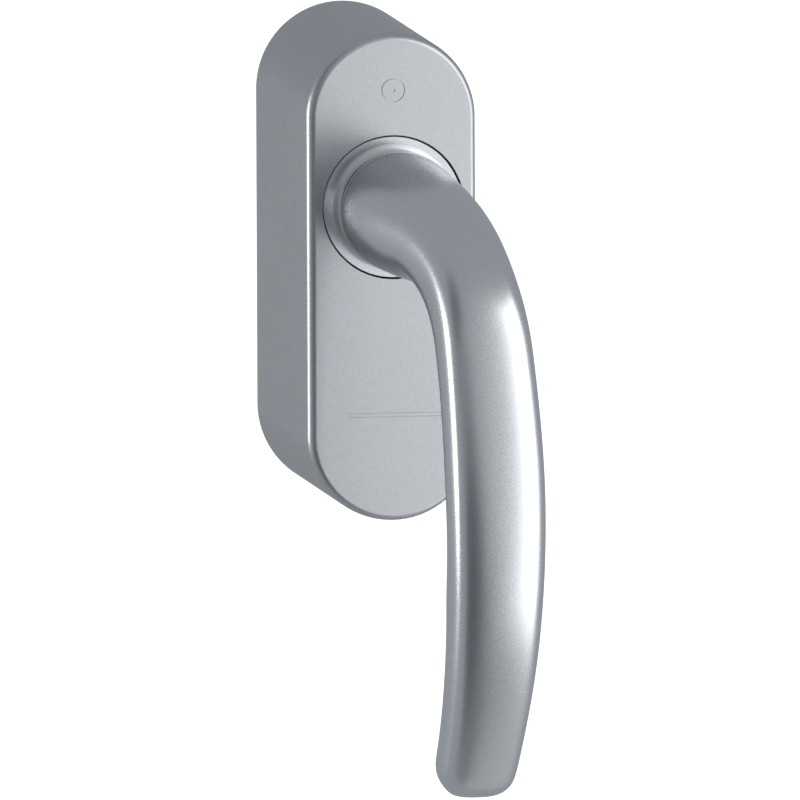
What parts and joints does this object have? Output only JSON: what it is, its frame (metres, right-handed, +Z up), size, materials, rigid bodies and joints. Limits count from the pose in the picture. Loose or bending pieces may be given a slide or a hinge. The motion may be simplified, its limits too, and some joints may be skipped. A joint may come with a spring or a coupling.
{
  "type": "tilt turn handle",
  "caption": "Satin aluminium tilt and turn window handle: deep oval housing, bow-shaped lever with click stops, square spindle and fixing screws behind, and a sealed position sensor inside.",
  "frame": {"origin": "where the spindle's axis meets the plane of the window sash, at the centre of the 43 mm screw spacing", "axes": "+Y into the sash along the spindle, +Z up with the lever hanging down at rest (window shut), +X to the right as seen from the room"},
  "size_m": [0.038, 0.1015, 0.1534],
  "materials": {
    "satin_aluminium": "satin anodised, finely blasted",
    "zinc_casting": "die-cast zinc, dull",
    "zinced_steel": "bright zinc plated",
    "spring_steel": "drawn and tempered",
    "bearing_plastic": "natural acetal",
    "black_plastic": "moulded, glass filled",
    "circuit_laminate": "green solder resist on glass laminate",
    "chip_resin": "moulded epoxy",
    "copper": "enamelled copper",
    "magnet_alloy": "nickel plated magnet"
  },
  "bodies": {
    "housing": {"rose_cover": "satin_aluminium", "base_plate": "zinc_casting", "collar_ring": "satin_aluminium", "guide_bush": "bearing_plastic", "click_housing": "zinc_casting", "cover_clip_left": "spring_steel", "cover_clip_right": "spring_steel", "fixing_screw_upper": "zinced_steel", "fixing_screw_lower": "zinced_steel", "tongue_pin": "spring_steel", "converter_case": "black_plastic", "converter_coil": "copper", "converter_core": "spring_steel", "converter_magnet": "magnet_alloy", "circuit_board": "circuit_laminate", "radio_chip": "chip_resin", "capacitor_left": "black_plastic", "capacitor_right": "black_plastic", "board_screw_left": "zinced_steel", "board_screw_right": "zinced_steel", "antenna": "copper"},
    "handle": {"lever_handle": "satin_aluminium", "square_spindle": "zinced_steel", "spindle_pin": "spring_steel", "retaining_ring": "spring_steel", "friction_washer": "bearing_plastic", "click_disc": "spring_steel", "coding_cam": "black_plastic"},
    "click_pin_left": {"click_pin_left": "spring_steel", "click_spring_left": "spring_steel"},
    "click_pin_right": {"click_pin_right": "spring_steel", "click_spring_right": "spring_steel"},
    "slide": {"coding_slide": "bearing_plastic", "position_magnet": "magnet_alloy"},
    "tongue": {"converter_tongue": "spring_steel"}
  },
  "joints": [
    {"name": "handle_turn", "type": "hinge", "parent": "housing", "child": "handle", "pos_m": [0, 0, 0], "axis": [0, 1, 0], "range_deg": [0, 180]},
    {"name": "click_pin_left_slide", "type": "slide", "parent": "housing", "child": "click_pin_left", "axis": [-1, 0, 0], "range_m": [-0.0006, 0], "stiffness_N_per_m": 800, "springref_m": -0.003, "deforming": ["click_spring_left"]},
    {"name": "click_pin_right_slide", "type": "slide", "parent": "housing", "child": "click_pin_right", "axis": [1, 0, 0], "range_m": [-0.0006, 0], "stiffness_N_per_m": 800, "springref_m": -0.003, "deforming": ["click_spring_right"]},
    {"name": "coding_slide_travel", "type": "slide", "parent": "housing", "child": "slide", "axis": [0, 0, -1], "range_m": [0, 0.00301]},
    {"name": "tongue_swing", "type": "hinge", "parent": "housing", "child": "tongue", "pos_m": [0, -0.0155, -0.033], "axis": [-1, 0, 0], "range_deg": [0, 18.1]}
  ],
  "couplings": [
    {"joint": "coding_slide_travel", "follows": "handle_turn", "m_per_rad": 0.00095493},
    {"joint": "tongue_swing", "follows": "handle_turn", "ratio": 0.1}
  ]
}
